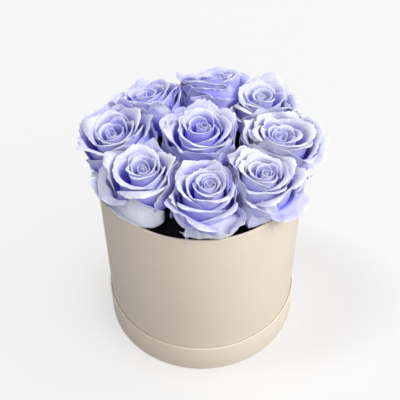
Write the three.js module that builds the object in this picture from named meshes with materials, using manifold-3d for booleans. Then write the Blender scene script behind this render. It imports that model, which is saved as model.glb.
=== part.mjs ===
// A round cream card box that holds nine preserved lavender roses and stands in its own upturned lid.
// Millimetres, +Z up. The origin is the centre of the lid's flat face, on the surface that it stands on.
// +X is to the right of someone who looks at the box from the front, and +Y is away from them.

import * as THREE from "three";
import { mergeVertices } from "three/addons/utils/BufferGeometryUtils.js";
import Module from "manifold-3d";

// Driving dimensions of the box
const BOX_RADIUS = 80;
const RIM_HEIGHT = 165;
const WALL_BOARD = 2;
const BASE_BOARD = 2;
const EDGE_ROUND = 0.4;
const LID_DEPTH = 30;
const LID_BOARD = 1.2;
const LID_TOP_BOARD = 2;
const LID_CLEARANCE = 0.4;
const LINER_PAPER = 0.6;
const LINER_BELOW_RIM = 1.2;
const FOAM_TOP = 140;
const FOAM_EASE = 1.7;
const GAP = 0.3;
const ROUND_STEPS = 36;

// Driving dimensions of a rose, in its own frame: +Z along its stem, the origin where the petals are set
const MODELLED_PETALS = [2, 7, 12, 17, 21, 23, 24, 25];
const BUD_PETALS = 10;
const FIRST_OUTER = 15;
const FIRST_GUARD = 21;
const LAST_PETAL = 25;
const BUD_SHIFT = 1.9;
const PETAL_THICKNESS = 0.8;
const LEAST_LIP = 2.6;
const HEART_HEIGHT = 34;
const CORE_FOOT = -1.6;
const CORE_SIDES = 10;
const STEM_RADIUS = 2.4;
const STEM_LENGTH = 58;
const STEM_SIDES = 6;
const SEPALS = 5;
const SEPAL_REACH = 13;
const GOLDEN_ANGLE = Math.PI * (3 - Math.sqrt(5));

// Each rose: where its heart is, how far its stem leans and towards which side (degrees from +X), its size,
// the side of its first petal, the side of the deep fold by its bud, how wide the bud is, and a seed. Where
// there is a ring, it is how far the petals outside the bud are set off to one side
const ROSES = [
  {
    name: "centre", heart: [-1, -1, 203], lean: 5, towards: 270, size: 0.92,
    turn: 20, gap: 195, open: 1.05, seed: 11, ring: [2.5, -4],
  },
  {
    name: "front", heart: [4, -56, 196], lean: 4, towards: 270, size: 0.9,
    turn: 75, gap: 210, open: 1.05, seed: 23,
  },
  {
    name: "front_right", heart: [44, -43, 195], lean: 6, towards: 330, size: 0.95,
    turn: 140, gap: 200, open: 0.95, seed: 37,
  },
  {
    name: "right", heart: [62, -1, 194], lean: 10, towards: 20, size: 1.02,
    turn: 200, gap: 30, open: 1, seed: 41,
  },
  {
    name: "back_right", heart: [50, 41, 194], lean: 6, towards: 30, size: 0.87,
    turn: 265, gap: 320, open: 0.85, seed: 59,
  },
  {
    name: "back", heart: [12, 64, 195], lean: 26, towards: 94, size: 0.98,
    turn: 200, gap: 270, open: 0.95, seed: 71,
  },
  {
    name: "back_left", heart: [-41, 46, 194], lean: 22, towards: 125, size: 0.89,
    turn: 5, gap: 0, open: 1, seed: 73,
  },
  {
    name: "left", heart: [-64, 5, 195], lean: 12, towards: 190, size: 0.98,
    turn: 50, gap: 60, open: 1.05, seed: 83,
  },
  {
    name: "front_left", heart: [-43, -39, 196], lean: 5, towards: 200, size: 0.94,
    turn: 110, gap: 225, open: 1, seed: 97,
  },
];

// Values of a petal by its number, counted from the heart to the outermost
const NUMBERS = [0, 4, 5, 9, 10, 15, 16, 21, 22, 25];
const PETAL_VALUES = {
  belly: [2.6, 5.6, 7.6, 10.6, 13.2, 18, 20, 24, 25.4, 28.5],
  mouth: [0.8, 4.8, 7.2, 10.8, 13.6, 19.6, 21.8, 27, 28.6, 34],
  height: [35, 35, 35.2, 35.6, 35.8, 35, 34, 29.5, 27, 19],
  lip: [0.5, 0.8, 1.1, 1.8, 2.3, 3.4, 4, 5.2, 5.5, 6],
  roll: [10, 60, 85, 100, 105, 108, 108, 100, 96, 92],
  half: [120, 108, 100, 90, 84, 74, 70, 62, 60, 56],
  drop: [0.05, 0.06, 0.08, 0.1, 0.12, 0.15, 0.18, 0.2, 0.24, 0.28],
  point: [2.2, 2.2, 2.2, 2.2, 2.2, 2, 1.8, 1.5, 1.5, 1.5],
  ruffle: [0.1, 0.2, 0.3, 0.4, 0.5, 1, 1.2, 1.7, 1.9, 2.4],
  root: [1.5, 1.2, 1, 0.6, 0.4, 0, -0.2, -0.6, -0.8, -1],
  flat: [0, 0, -0.02, -0.02, -0.01, 0.02, 0.05, 0.12, 0.14, 0.18],
};

// Petals that hang to one side of the box (degrees): where they differ from a petal of the outermost row
const HANGING = [
  { rose: "left", side: 222, belly: 25, mouth: 30, height: 15, lip: 5, roll: 60, half: 42 },
  { rose: "front_right", side: 20, belly: 26, mouth: 31, height: 27, lip: 3, roll: 60, half: 40 },
  { rose: "centre", side: 180, belly: 29, mouth: 38, height: 24, lip: 4, roll: 60, half: 50 },
  { rose: "centre", side: 5, belly: 29, mouth: 38, height: 25, lip: 4, roll: 60, half: 50 },
  { rose: "centre", side: 62, belly: 29, mouth: 39, height: 22, lip: 4, roll: 60, half: 46 },
  { rose: "centre", side: 122, belly: 29, mouth: 39, height: 22, lip: 4, roll: 60, half: 46 },
];

// The side that a rose opens to, how far to either side, and the first petal of the spiral that makes way
const OPENINGS = {
  front_left: { middle: 250, width: 60, first: 18 },
  front: { middle: 272, width: 46, first: 23 },
  front_right: { middle: 296, width: 52, first: 19 },
  right: { middle: 2, width: 38, first: 20 },
  left: { middle: 222, width: 36, first: 22 },
  back: { middle: 0, width: 35, first: 15 },
};
const MAKE_WAY = THREE.MathUtils.degToRad(20);
const MOST_WAY = THREE.MathUtils.degToRad(25);

// Loose petals in the openings: four sides, and at each how far out and how high the petal is at three
// places, in millimetres about the foot of the rose
const LOOSE_ROOT = [6, 1];
const LOOSE = [
  {
    rose: "front_left", sides: [196, 235, 272, 308], belly: [[24, 1.5], [23.5, 2], [29, 1.5], [23, 2]],
    shoulder: [[25, 4], [24.5, 11], [27, 11], [27, 6]], edge: [[25.5, 6], [20.5, 22], [23.5, 22], [29, 12]],
  },
  {
    rose: "front_left", sides: [186, 212, 240, 274], belly: [[22, 1], [22, 1], [22, 1], [24, 1]],
    shoulder: [[28, 4], [28, 4], [27, 3], [29, 2.5]], edge: [[31, 5], [31.5, 4], [30, 3], [31.5, 2]],
  },
  {
    rose: "front_left", sides: [160, 186, 212, 240], belly: [[22, 8], [23, 8], [22, 8], [21, 8]],
    shoulder: [[26, 20], [26.5, 19], [25.5, 18], [23.5, 19]],
    edge: [[31, 24], [33.5, 19], [31.5, 17], [27, 21]],
  },
  {
    rose: "front", sides: [192, 210, 230, 252], belly: [[20, 9], [20, 9], [20, 8], [18, 6]],
    shoulder: [[23, 17], [24, 15], [24.5, 12], [24, 12]], edge: [[24.5, 25], [26, 20], [28, 14], [27, 16]],
  },
  {
    rose: "front", sides: [236, 250, 264, 280], belly: [[19, 9], [19, 9], [18, 9], [18, 10]],
    shoulder: [[25, 11], [25, 12], [24, 12], [25, 13]], edge: [[28, 2.5], [27, 2], [26, 2], [26, 3]],
  },
  {
    rose: "front", sides: [262, 282, 302, 322], belly: [[18, 12], [18, 13], [18, 14], [18, 14]],
    shoulder: [[25, 15], [25, 16], [26, 17], [27, 16]], edge: [[27, 4], [27, 2.5], [28, 3], [30, 6]],
  },
  {
    rose: "front_right", sides: [240, 262, 284, 306], belly: [[29, 3], [27, 2.5], [23, 3], [20.5, 4]],
    shoulder: [[29, 13], [27, 13], [25, 13], [24, 13]], edge: [[28, 22], [24, 25], [23.5, 26], [25, 22]],
  },
  {
    rose: "front_right", sides: [288, 308, 328, 346], belly: [[18, 8], [20, 9], [22, 10], [24, 12]],
    shoulder: [[23, 14], [26, 14], [29, 16], [32, 19]], edge: [[27, 6], [31, 5.5], [36, 6.5], [41, 12]],
    reach: 108,
  },
  {
    rose: "right", sides: [-32, -10, 10, 40], belly: [[22, 8], [25, 9], [27, 10], [26, 14]],
    shoulder: [[26, 16], [30, 21], [32, 26], [29, 32]],
    edge: [[31, 14], [37.5, 19], [39.5, 26], [36, 34]], reach: 106,
  },
];

// Petals of neighbouring roses press flat on each other this far from the plane midway between the two, and
// petals that reach the box's rim lie over it
const PRESS_DEPTH = 4.5;
const CELL_GAP = 0.4;
const MID_HEIGHT = 20;
const RIM_CLEAR = 1.6;
const PETAL_DROP = 12;
const INSIDE_SLOPE = 3;
const RIM_SLOPE = 0.7;
const REACH_SLOPE = 0.5;
const REACH_EASE = 7;
const REACH_LIFT = 0.4;
const PETAL_REACH = 84;

const wasm = await Module();
wasm.setup();

// A value of the petal with this number
function petalValue(name, number) {
  const values = PETAL_VALUES[name];
  const next = NUMBERS.findIndex((at) => at >= number);
  if (next <= 0) return values[0];
  const share = (number - NUMBERS[next - 1]) / (NUMBERS[next] - NUMBERS[next - 1]);
  return THREE.MathUtils.lerp(values[next - 1], values[next], share);
}

function petalValues(number) {
  const values = Object.keys(PETAL_VALUES).map((name) => [name, petalValue(name, number)]);
  return Object.fromEntries(values);
}

// Numbers between low and high, the same at each run
function drawsFrom(seed) {
  let state = seed * 7919;
  return (low, high) => {
    state = (state * 16807 + 11) % 2147483647;
    return low + ((high - low) * state) / 2147483647;
  };
}

function solidFrom(geometry) {
  const bare = new THREE.BufferGeometry();
  bare.setAttribute("position", geometry.getAttribute("position"));
  if (geometry.index) bare.setIndex(geometry.index);
  const merged = mergeVertices(bare, 1e-4);
  return new wasm.Manifold(
    new wasm.Mesh({
      numProp: 3,
      vertProperties: new Float32Array(merged.getAttribute("position").array),
      triVerts: new Uint32Array(merged.index.array),
    }),
  );
}

function geometryFrom(solid) {
  const { vertProperties, triVerts } = solid.getMesh();
  const geometry = new THREE.BufferGeometry();
  geometry.setAttribute("position", new THREE.BufferAttribute(vertProperties, 3));
  geometry.setIndex(new THREE.BufferAttribute(triVerts, 1));
  return geometry;
}

// The one body of a joined solid: a loose scrap is dropped, and a hollow that the joining sealed is filled
function oneBody(solid) {
  return solid.decompose().reduce((most, body) => (body.volume() > most.volume() ? body : most));
}

// A profile of radius and height turned about +Z
function turned(profile, steps = ROUND_STEPS) {
  const points = profile.map(([radius, height]) => new THREE.Vector2(radius, height));
  return new THREE.LatheGeometry(points, steps).rotateX(Math.PI / 2);
}

// The box's tube, rolled from board, with its rim's edges eased
function boxWall() {
  const inner = BOX_RADIUS - WALL_BOARD;
  const foot = LID_TOP_BOARD + GAP;
  return turned([
    [inner, foot],
    [BOX_RADIUS, foot],
    [BOX_RADIUS, RIM_HEIGHT - EDGE_ROUND],
    [BOX_RADIUS - EDGE_ROUND, RIM_HEIGHT],
    [inner + EDGE_ROUND, RIM_HEIGHT],
    [inner, RIM_HEIGHT - EDGE_ROUND],
    [inner, foot],
  ]);
}

// The disc of board that closes the tube's foot
function boxBase() {
  const radius = BOX_RADIUS - WALL_BOARD - GAP;
  const foot = LID_TOP_BOARD + GAP;
  return turned([[0, foot], [radius, foot], [radius, foot + BASE_BOARD], [0, foot + BASE_BOARD]]);
}

// The lid, upturned, so that its flat top is the foot that the box stands in
function lid() {
  const inner = BOX_RADIUS + LID_CLEARANCE;
  const outer = inner + LID_BOARD;
  return turned([
    [0, 0],
    [outer - EDGE_ROUND, 0],
    [outer, EDGE_ROUND],
    [outer, LID_DEPTH - EDGE_ROUND],
    [outer - EDGE_ROUND, LID_DEPTH],
    [inner, LID_DEPTH],
    [inner, LID_TOP_BOARD],
    [0, LID_TOP_BOARD],
  ]);
}

// The black paper that lines the tube
function liner() {
  const outer = BOX_RADIUS - WALL_BOARD - GAP;
  const inner = outer - LINER_PAPER;
  const foot = LID_TOP_BOARD + BASE_BOARD + 2 * GAP;
  const top = RIM_HEIGHT - LINER_BELOW_RIM;
  return turned([[inner, foot], [outer, foot], [outer, top], [inner, top], [inner, foot]]);
}

function roseAxis({ lean, towards }) {
  const tilt = THREE.MathUtils.degToRad(lean);
  const side = THREE.MathUtils.degToRad(towards);
  return new THREE.Vector3(
    Math.sin(tilt) * Math.cos(side),
    Math.sin(tilt) * Math.sin(side),
    Math.cos(tilt),
  );
}

// The place below its heart where a rose's petals grow from
function roseFoot(rose) {
  return new THREE.Vector3(...rose.heart).addScaledVector(roseAxis(rose), -HEART_HEIGHT * rose.size);
}

// A rose's own frame in the box: its stem's direction, and its origin at its foot
function roseMatrix(rose) {
  const up = new THREE.Vector3(0, 0, 1);
  const spin = new THREE.Quaternion().setFromAxisAngle(up, THREE.MathUtils.degToRad(rose.turn));
  const leaning = new THREE.Quaternion().setFromUnitVectors(up, roseAxis(rose));
  const scale = new THREE.Vector3(rose.size, rose.size, rose.size);
  return new THREE.Matrix4().compose(roseFoot(rose), leaning.multiply(spin), scale);
}

// The planes midway between a rose and its neighbours, facing the rose, each leaning as the two stems do
function cellPlanes(rose) {
  const middle = (r) => new THREE.Vector3(0, 0, MID_HEIGHT).applyMatrix4(roseMatrix(r));
  const own = middle(rose);
  return ROSES.filter((other) => other !== rose).map((other) => {
    const there = middle(other);
    const share = rose.size / (rose.size + other.size);
    const lean = roseAxis(rose).add(roseAxis(other)).normalize();
    const normal = own.clone().sub(there).projectOnPlane(lean).normalize();
    return new THREE.Plane().setFromNormalAndCoplanarPoint(normal, own.clone().lerp(there, share));
  });
}

// Eases a distance so that it never falls below its least value
function pressed(distance, least, depth) {
  if (distance >= depth) return distance;
  return least + (depth - least) * Math.exp((distance - depth) / (depth - least));
}

// Bends a point of a petal clear of the neighbouring roses and the box's wall, and keeps it within reach
function bentClear(point, planes, reach) {
  const least = CELL_GAP + PETAL_THICKNESS / 2;
  for (let pass = 0; pass < 3; pass += 1) {
    for (const plane of planes) {
      const distance = plane.distanceToPoint(point);
      point.addScaledVector(plane.normal, pressed(distance, least, PRESS_DEPTH) - distance);
    }
  }
  const free = Math.hypot(point.x, point.y);
  const limit = reach + REACH_SLOPE * Math.max(0, point.z - RIM_HEIGHT);
  const across = limit - pressed(limit - free, 0, REACH_EASE);
  point.x *= across / free;
  point.y *= across / free;
  point.z += REACH_LIFT * (free - across);
  const inside = BOX_RADIUS - WALL_BOARD - 2 * RIM_CLEAR;
  const rest = RIM_HEIGHT + RIM_CLEAR + PETAL_THICKNESS / 2;
  const below = across < inside
    ? (inside - across) * INSIDE_SLOPE
    : Math.max(0, across - BOX_RADIUS - RIM_CLEAR) * RIM_SLOPE;
  point.z = rest - below + pressed(point.z - rest + below, 0, PRESS_DEPTH / 2);
  return point;
}

// The middle surface of one petal: rows of points from its root to the edge of its rolled lip
function petalRows(values, side, draw, shape) {
  const { belly, mouth, root, lip, drop, point, ruffle, flat } = values;
  const height = values.height + draw(-1.2, 0.8);
  const half = THREE.MathUtils.degToRad(values.half);
  const roll = THREE.MathUtils.degToRad(values.roll);
  const profile = new THREE.CubicBezierCurve(
    new THREE.Vector2(1.2, root),
    new THREE.Vector2(belly * 1.25 + 1.5, root + 0.5),
    new THREE.Vector2(belly * 1.02, height * 0.62),
    new THREE.Vector2(mouth, height),
  );
  const phase = draw(0, 2 * Math.PI);
  const waves = draw(1.2, 2.2);
  const columns = [];
  for (let column = 0; column <= shape.across; column += 1) {
    const u = (2 * column) / shape.across - 1;
    const end = 1 - drop * Math.abs(u) ** point;
    const line = [];
    for (let row = 0; row <= shape.body; row += 1) {
      const s = shape.start + (end - shape.start) * (row / shape.body);
      line.push({ s, at: profile.getPoint(s) });
    }
    const along = profile.getTangent(end);
    const outward = new THREE.Vector2(along.y, -along.x);
    const radius = Math.max(lip, LEAST_LIP) * (1 - 0.3 * Math.abs(u) ** 3);
    for (let row = 1; row <= shape.lip; row += 1) {
      const angle = (roll * (1 - 0.45 * u ** 4) * row) / shape.lip;
      const wave = (Math.min(ruffle, radius / 2) * Math.sin(waves * Math.PI * u + phase) * row) / shape.lip;
      const at = profile
        .getPoint(end)
        .addScaledVector(along, radius * Math.sin(angle))
        .addScaledVector(outward, radius * (1 - Math.cos(angle)))
        .add(new THREE.Vector2(0.8 * wave, 0.5 * wave));
      line.push({ s: end, at });
    }
    columns.push(
      line.map(({ s, at }) => {
        const spread = half * u * THREE.MathUtils.lerp(0.62, 1, THREE.MathUtils.smoothstep(s, 0, 0.55));
        const out = at.x * (1 + flat * spread ** 2);
        return new THREE.Vector3(out * Math.cos(side + spread), out * Math.sin(side + spread), at.y);
      }),
    );
  }
  return columns[0].map((_, row) => columns.map((column) => column[row]));
}

// A closed blade about a grid of points, split into the same triangles on both faces
function blade(rows, thickness) {
  const count = rows[0].length;
  const normalAt = (row, column) => {
    const up = rows[Math.min(row + 1, rows.length - 1)][column]
      .clone()
      .sub(rows[Math.max(row - 1, 0)][column]);
    const over = rows[row][Math.min(column + 1, count - 1)]
      .clone()
      .sub(rows[row][Math.max(column - 1, 0)]);
    return over.cross(up).normalize();
  };
  const faces = [-0.5, 0.5].map((half) =>
    rows.flatMap((line, row) =>
      line.map((point, column) => point.clone().addScaledVector(normalAt(row, column), half * thickness)),
    ),
  );
  const points = faces.flat();
  const back = faces[0].length;
  const index = [];
  const quad = (a, b, c, d) => index.push(a, b, c, a, c, d);
  for (let row = 0; row + 1 < rows.length; row += 1) {
    for (let column = 0; column + 1 < count; column += 1) {
      const a = row * count + column;
      const [b, c, d] = [a + 1, a + count + 1, a + count];
      index.push(back + a, back + b, back + c, back + a, back + c, back + d);
      index.push(a, c, b, a, d, c);
    }
  }
  const rim = [];
  for (let column = 0; column < count - 1; column += 1) rim.push(column);
  for (let row = 0; row < rows.length - 1; row += 1) rim.push(row * count + count - 1);
  for (let column = count - 1; column > 0; column -= 1) rim.push((rows.length - 1) * count + column);
  for (let row = rows.length - 1; row > 0; row -= 1) rim.push(row * count);
  rim.forEach((a, at) => {
    const b = rim[(at + 1) % rim.length];
    quad(a, b, back + b, back + a);
  });
  const geometry = new THREE.BufferGeometry();
  geometry.setAttribute(
    "position",
    new THREE.BufferAttribute(new Float32Array(points.flatMap((point) => point.toArray())), 3),
  );
  geometry.setIndex(index);
  return geometry;
}

// The grid of a petal: the heart's petals are short of rows, and the outer ones are rooted at the stem
function petalShape(number) {
  if (number < BUD_PETALS) return { across: 4, body: 1, lip: 0, start: 0.6 };
  if (number < FIRST_OUTER) return { across: 3, body: 1, lip: 1, start: 0.48 };
  if (number < FIRST_GUARD) return { across: 3, body: 2, lip: 1, start: 0.3 };
  return { across: 3, body: 2, lip: 1, start: 0.12 };
}

// The solid middle that the petals stand out of, in the rose's own frame
function roseCore() {
  return turned([[0, CORE_FOOT], [12, -1.4], [19, 2], [23, 9], [20, 16], [8, 26], [0, 27]], CORE_SIDES);
}

// The room that the wall and the liner take at the rim, with a gap all round
function rimClearance() {
  const inner = BOX_RADIUS - WALL_BOARD - LINER_PAPER - 2 * GAP;
  const outer = BOX_RADIUS + GAP;
  const foot = RIM_HEIGHT - 2 * PETAL_DROP;
  const top = RIM_HEIGHT + GAP;
  return turned([[inner, foot], [outer, foot], [outer, top], [inner, top], [inner, foot]]);
}

// Where a petal of the spiral goes when its rose opens to one side, or null if it falls out
function makeWay(rose, number, side, half) {
  const opening = OPENINGS[rose.name];
  if (!opening || number < opening.first) return side;
  const middle = THREE.MathUtils.degToRad(opening.middle);
  const width = THREE.MathUtils.degToRad(opening.width);
  const off = Math.atan2(Math.sin(side - middle), Math.cos(side - middle));
  if (Math.abs(off) < width) return null;
  const most = Math.abs(off) + MOST_WAY;
  return middle + Math.sign(off) * Math.min(Math.max(Math.abs(off), width + half - MAKE_WAY), most);
}

// The petals of the spiral from the heart outwards and those that hang, in the rose's own frame
function spiralPetals(rose) {
  const draw = drawsFrom(rose.seed);
  const turn = THREE.MathUtils.degToRad(rose.turn);
  const away = THREE.MathUtils.degToRad(rose.gap + 180) - turn;
  const budShift = new THREE.Vector3(Math.cos(away), Math.sin(away), 0).multiplyScalar(BUD_SHIFT);
  const [over, back] = rose.ring ?? [0, 0];
  const ringShift = new THREE.Vector3(over, back, 0).applyAxisAngle(new THREE.Vector3(0, 0, 1), -turn);
  const petals = [];
  for (const number of MODELLED_PETALS) {
    const values = petalValues(number);
    if (number < BUD_PETALS) {
      values.belly *= rose.open;
      values.mouth *= rose.open;
    }
    const free = number * GOLDEN_ANGLE + draw(-0.12, 0.12) + turn;
    const side = makeWay(rose, number, free, THREE.MathUtils.degToRad(values.half));
    if (side === null) continue;
    const rows = petalRows(values, side - turn, draw, petalShape(number));
    const shift = number < BUD_PETALS ? budShift : ringShift;
    const times = number < BUD_PETALS / 2 ? 2 : 1;
    for (const point of rows.flat()) point.addScaledVector(shift, times);
    petals.push(rows);
  }
  for (const { side, ...changes } of HANGING.filter((petal) => petal.rose === rose.name)) {
    const values = { ...petalValues(LAST_PETAL), ...changes };
    petals.push(petalRows(values, THREE.MathUtils.degToRad(side) - turn, draw, petalShape(LAST_PETAL)));
  }
  return petals;
}

// A loose petal's rows of points in the box, from its root to its edge
function looseRows(rose, { sides, belly, shoulder, edge }) {
  const middle = sides.reduce((sum, side) => sum + side, 0) / sides.length;
  const foot = roseFoot(rose);
  return [sides.map(() => LOOSE_ROOT), belly, shoulder, edge].map((places, row) =>
    places.map(([out, height], column) => {
      const side = row === 0 ? (middle + sides[column]) / 2 : sides[column];
      const around = new THREE.Vector3(out, 0, height);
      return around.applyAxisAngle(new THREE.Vector3(0, 0, 1), THREE.MathUtils.degToRad(side)).add(foot);
    }),
  );
}

// One bloom: its petals from the heart outwards, fused to the core
function bloom(rose) {
  const matrix = roseMatrix(rose);
  const planes = cellPlanes(rose);
  const core = roseCore().applyMatrix4(matrix);
  const places = core.getAttribute("position");
  for (let at = 0; at < places.count; at += 1) {
    const point = bentClear(new THREE.Vector3().fromBufferAttribute(places, at), planes, PETAL_REACH);
    places.setXYZ(at, point.x, point.y, point.z);
  }
  let solid = solidFrom(core);
  for (const rows of spiralPetals(rose)) {
    for (const point of rows.flat()) bentClear(point.applyMatrix4(matrix), planes, PETAL_REACH);
    solid = solid.add(solidFrom(blade(rows, PETAL_THICKNESS)));
  }
  for (const loose of LOOSE.filter((petal) => petal.rose === rose.name)) {
    const rows = looseRows(rose, loose);
    for (const point of rows.flat()) bentClear(point, planes, loose.reach ?? PETAL_REACH);
    solid = solid.add(solidFrom(blade(rows, PETAL_THICKNESS)));
  }
  return geometryFrom(oneBody(solid.subtract(solidFrom(rimClearance()))));
}

// A stem with the cup and the five sepals that the bloom sits in
function stem(rose) {
  const top = CORE_FOOT - GAP;
  const shaft = turned(
    [[0, -STEM_LENGTH], [STEM_RADIUS, -STEM_LENGTH], [STEM_RADIUS, -8], [5, -4.5], [4.6, top], [0, top]],
    STEM_SIDES,
  );
  let solid = solidFrom(shaft);
  for (let order = 0; order < SEPALS; order += 1) {
    const side = (order / SEPALS) * 2 * Math.PI;
    const rows = [[3, -3.6, 2.6], [SEPAL_REACH, -4.4, 0.9]].map(([out, height, half]) =>
      [-half, half].map((over) =>
        new THREE.Vector3(out, over, height).applyAxisAngle(new THREE.Vector3(0, 0, 1), side),
      ),
    );
    solid = solid.add(solidFrom(blade(rows, PETAL_THICKNESS)));
  }
  return geometryFrom(solid).applyMatrix4(roseMatrix(rose));
}

// The block of black floral foam, with a plain hole for each stem
function foam() {
  const radius = BOX_RADIUS - WALL_BOARD - LINER_PAPER - 3 * GAP;
  const foot = LID_TOP_BOARD + BASE_BOARD + 2 * GAP;
  const depth = STEM_LENGTH + GAP;
  const edge = radius - FOAM_EASE;
  const shoulder = FOAM_TOP - FOAM_EASE;
  const block = turned([[0, foot], [radius, foot], [radius, shoulder], [edge, FOAM_TOP], [0, FOAM_TOP]]);
  let solid = solidFrom(block);
  for (const rose of ROSES) {
    const hole = turned(
      [[0, -depth], [STEM_RADIUS + GAP, -depth], [STEM_RADIUS + GAP, 0], [0, 0]],
      STEM_SIDES,
    );
    solid = solid.subtract(solidFrom(hole.applyMatrix4(roseMatrix(rose))));
  }
  return geometryFrom(solid);
}

const MATERIALS = {
  cream_board: new THREE.MeshStandardMaterial({ color: 0xe9dfd0, roughness: 0.62, metalness: 0 }),
  black_paper: new THREE.MeshStandardMaterial({ color: 0x141318, roughness: 0.7, metalness: 0 }),
  black_foam: new THREE.MeshStandardMaterial({ color: 0x17161b, roughness: 0.95, metalness: 0 }),
  petal: new THREE.MeshStandardMaterial({ color: 0xb9b6ee, roughness: 0.6, metalness: 0 }),
  stem: new THREE.MeshStandardMaterial({ color: 0x5d6b45, roughness: 0.7, metalness: 0 }),
};

const box = new THREE.Group();

function place(name, geometry, material) {
  const mesh = new THREE.Mesh(geometry, MATERIALS[material]);
  mesh.name = name;
  box.add(mesh);
}

place("box_wall", boxWall(), "cream_board");
place("box_base", boxBase(), "cream_board");
place("lid", lid(), "cream_board");
place("liner", liner(), "black_paper");
place("foam", foam(), "black_foam");
for (const rose of ROSES) {
  place(`rose_${rose.name}_bloom`, bloom(rose), "petal");
  place(`rose_${rose.name}_stem`, stem(rose), "stem");
}

export default box;
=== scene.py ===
# %% [markdown]
# # A box of preserved roses
# Nine preserved roses in pale lavender blue stand close together in a round hat box of cream card.
# The box stands in its own lid, upturned, so that the lid's side shows as a band round the foot.
#
# The solid model gives every size and place. This lesson puts the finish on it: thin petals in place
# of the thick ones, paper on the board, and light. Everything is in metres, with the box's foot at
# the origin and +Z up.

# %% Load the solid model
import math

import bpy
import numpy as np
from mathutils import Matrix, Vector


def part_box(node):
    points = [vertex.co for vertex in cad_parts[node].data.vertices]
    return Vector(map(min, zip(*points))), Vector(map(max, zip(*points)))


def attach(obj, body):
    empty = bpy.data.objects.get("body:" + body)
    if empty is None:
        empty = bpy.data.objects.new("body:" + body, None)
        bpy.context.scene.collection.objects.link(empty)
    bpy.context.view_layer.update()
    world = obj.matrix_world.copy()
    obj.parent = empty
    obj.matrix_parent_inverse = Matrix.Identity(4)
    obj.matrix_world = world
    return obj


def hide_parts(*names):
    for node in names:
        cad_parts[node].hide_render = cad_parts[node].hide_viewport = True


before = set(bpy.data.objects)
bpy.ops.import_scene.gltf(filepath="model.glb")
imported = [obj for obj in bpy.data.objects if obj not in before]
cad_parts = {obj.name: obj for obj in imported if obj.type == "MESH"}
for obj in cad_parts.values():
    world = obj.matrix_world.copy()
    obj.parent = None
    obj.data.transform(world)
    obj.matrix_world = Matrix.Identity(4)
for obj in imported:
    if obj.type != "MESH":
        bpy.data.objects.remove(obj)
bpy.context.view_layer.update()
MM = 0.001

# %% [markdown]
# ## Sizes
# Few sizes are stated. The box's radius and height come from the solid model's own nodes, so the
# finish can't drift away from the solids. The thicknesses of board and paper are the usual ones for
# such a box.

# %% Sizes of the box
wall_low, wall_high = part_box("box_wall")
base_low, base_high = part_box("box_base")
_, lid_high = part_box("lid")
foam_low, foam_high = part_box("foam")
liner_low, liner_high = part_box("liner")
BOX_RADIUS = wall_high.x
RIM_HEIGHT = wall_high.z
WALL_BOARD = 2 * MM
LINER_PAPER = 0.6 * MM
LID_RADIUS = lid_high.x
LID_DEPTH = lid_high.z
LID_BOARD = 1.2 * MM
LID_TOP_BOARD = 2 * MM
ROUND_STEPS = 240
print(f"box radius {BOX_RADIUS:.4f}, rim height {RIM_HEIGHT:.4f}, lid depth {LID_DEPTH:.4f}")

# %% [markdown]
# ## Camera
# The photograph was taken from about 49 degrees above the table with a longish lens. The camera could
# be moved about until the picture looks right, but the rim, the foot and the lid's edge are circles,
# so their ellipses in the picture give its place, and with it the lens.

# %% Camera
CAMERA_RISE = math.radians(48.79)
CAMERA_ROLL = math.radians(-0.64)
CAMERA_PLACE = Vector((0, -5.633, 7.432)) * BOX_RADIUS
PHOTO_SIDE = 400
FOCAL_PIXELS = 805
PRINCIPAL_PIXEL = (201.1, 235.9)
SENSOR_WIDTH = 36

forward = Vector((0, math.cos(CAMERA_RISE), -math.sin(CAMERA_RISE)))
level_right = Vector((1, 0, 0))
level_up = level_right.cross(forward)
right = math.cos(CAMERA_ROLL) * level_right + math.sin(CAMERA_ROLL) * level_up
up = right.cross(forward)
camera_data = bpy.data.cameras.new("camera")
camera_data.sensor_width = SENSOR_WIDTH
camera_data.lens = SENSOR_WIDTH * FOCAL_PIXELS / PHOTO_SIDE
camera_data.shift_x = (PHOTO_SIDE / 2 - PRINCIPAL_PIXEL[0]) / PHOTO_SIDE
camera_data.shift_y = (PRINCIPAL_PIXEL[1] - PHOTO_SIDE / 2) / PHOTO_SIDE
camera = bpy.data.objects.new("camera", camera_data)
bpy.context.scene.collection.objects.link(camera)
turned = Matrix((right, up, -forward)).transposed().to_4x4()
camera.matrix_world = Matrix.Translation(CAMERA_PLACE) @ turned
bpy.context.scene.camera = camera
print(f"lens {camera_data.lens:.1f} mm")

# %% [markdown]
# ## Helpers
# Every piece is modelled with everything else deselected, because an operator acts on all that is
# selected. The helpers for materials build shader nodes from a few words, so that each material reads
# as a short list. What is the same all over a surface is set on the shader's own socket, and only
# what changes over it is linked.

# %% Helpers for pieces
BODY = "root"


def deselect():
    """Leaves edit mode and selects nothing."""
    if bpy.context.object and bpy.context.object.mode != "OBJECT":
        bpy.ops.object.mode_set(mode="OBJECT")
    bpy.ops.object.select_all(action="DESELECT")


def choose(piece, *others):
    """Selects these pieces alone, the first one active."""
    deselect()
    for each in (piece, *others):
        each.select_set(True)
    bpy.context.view_layer.objects.active = piece


def apply_modifier(piece, kind, **settings):
    """Adds a modifier, sets it up and applies it."""
    choose(piece)
    modifier = piece.modifiers.new(kind.lower(), kind)
    for name, value in settings.items():
        setattr(modifier, name, value)
    bpy.ops.object.modifier_apply(modifier=modifier.name)


def join(pieces):
    """Joins the pieces into the first one's mesh."""
    choose(*pieces)
    bpy.ops.object.join()
    return bpy.context.object


def shade_smooth(piece, below):
    """Shades a piece smooth, but keeps the edges that turn by more than this many degrees."""
    choose(piece)
    bpy.ops.object.shade_smooth_by_angle(angle=math.radians(below))


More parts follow.
